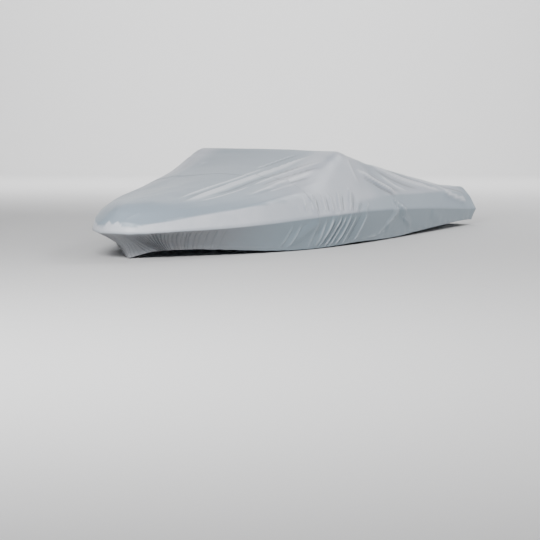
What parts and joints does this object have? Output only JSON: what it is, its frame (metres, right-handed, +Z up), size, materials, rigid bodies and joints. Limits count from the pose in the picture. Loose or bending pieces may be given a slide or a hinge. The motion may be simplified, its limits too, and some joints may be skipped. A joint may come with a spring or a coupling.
{
  "type": "boat cover",
  "caption": "Fitted sheet of coated cloth, as draped over an open motor boat: domed bow, raised ridge, sloping stern and a hanging skirt, sewn from a bow and a main panel.",
  "frame": {"origin": "underside of the cloth at the middle of the cross ridge, its highest line, where the thing under the cover carries it", "axes": "+X towards the stern, the longest extent; +Y to starboard; +Z up, the shortest extent; the bow points along -X"},
  "size_m": [5.2958, 2.0872, 0.8309],
  "materials": {
    "bow_cloth": "coated woven polyester, slightly glossy, blue grey",
    "main_cloth": "coated woven polyester, slightly glossy, blue grey"
  },
  "bodies": {
    "root": {"bow_panel": "bow_cloth", "main_panel": "main_cloth"}
  },
  "joints": []
}
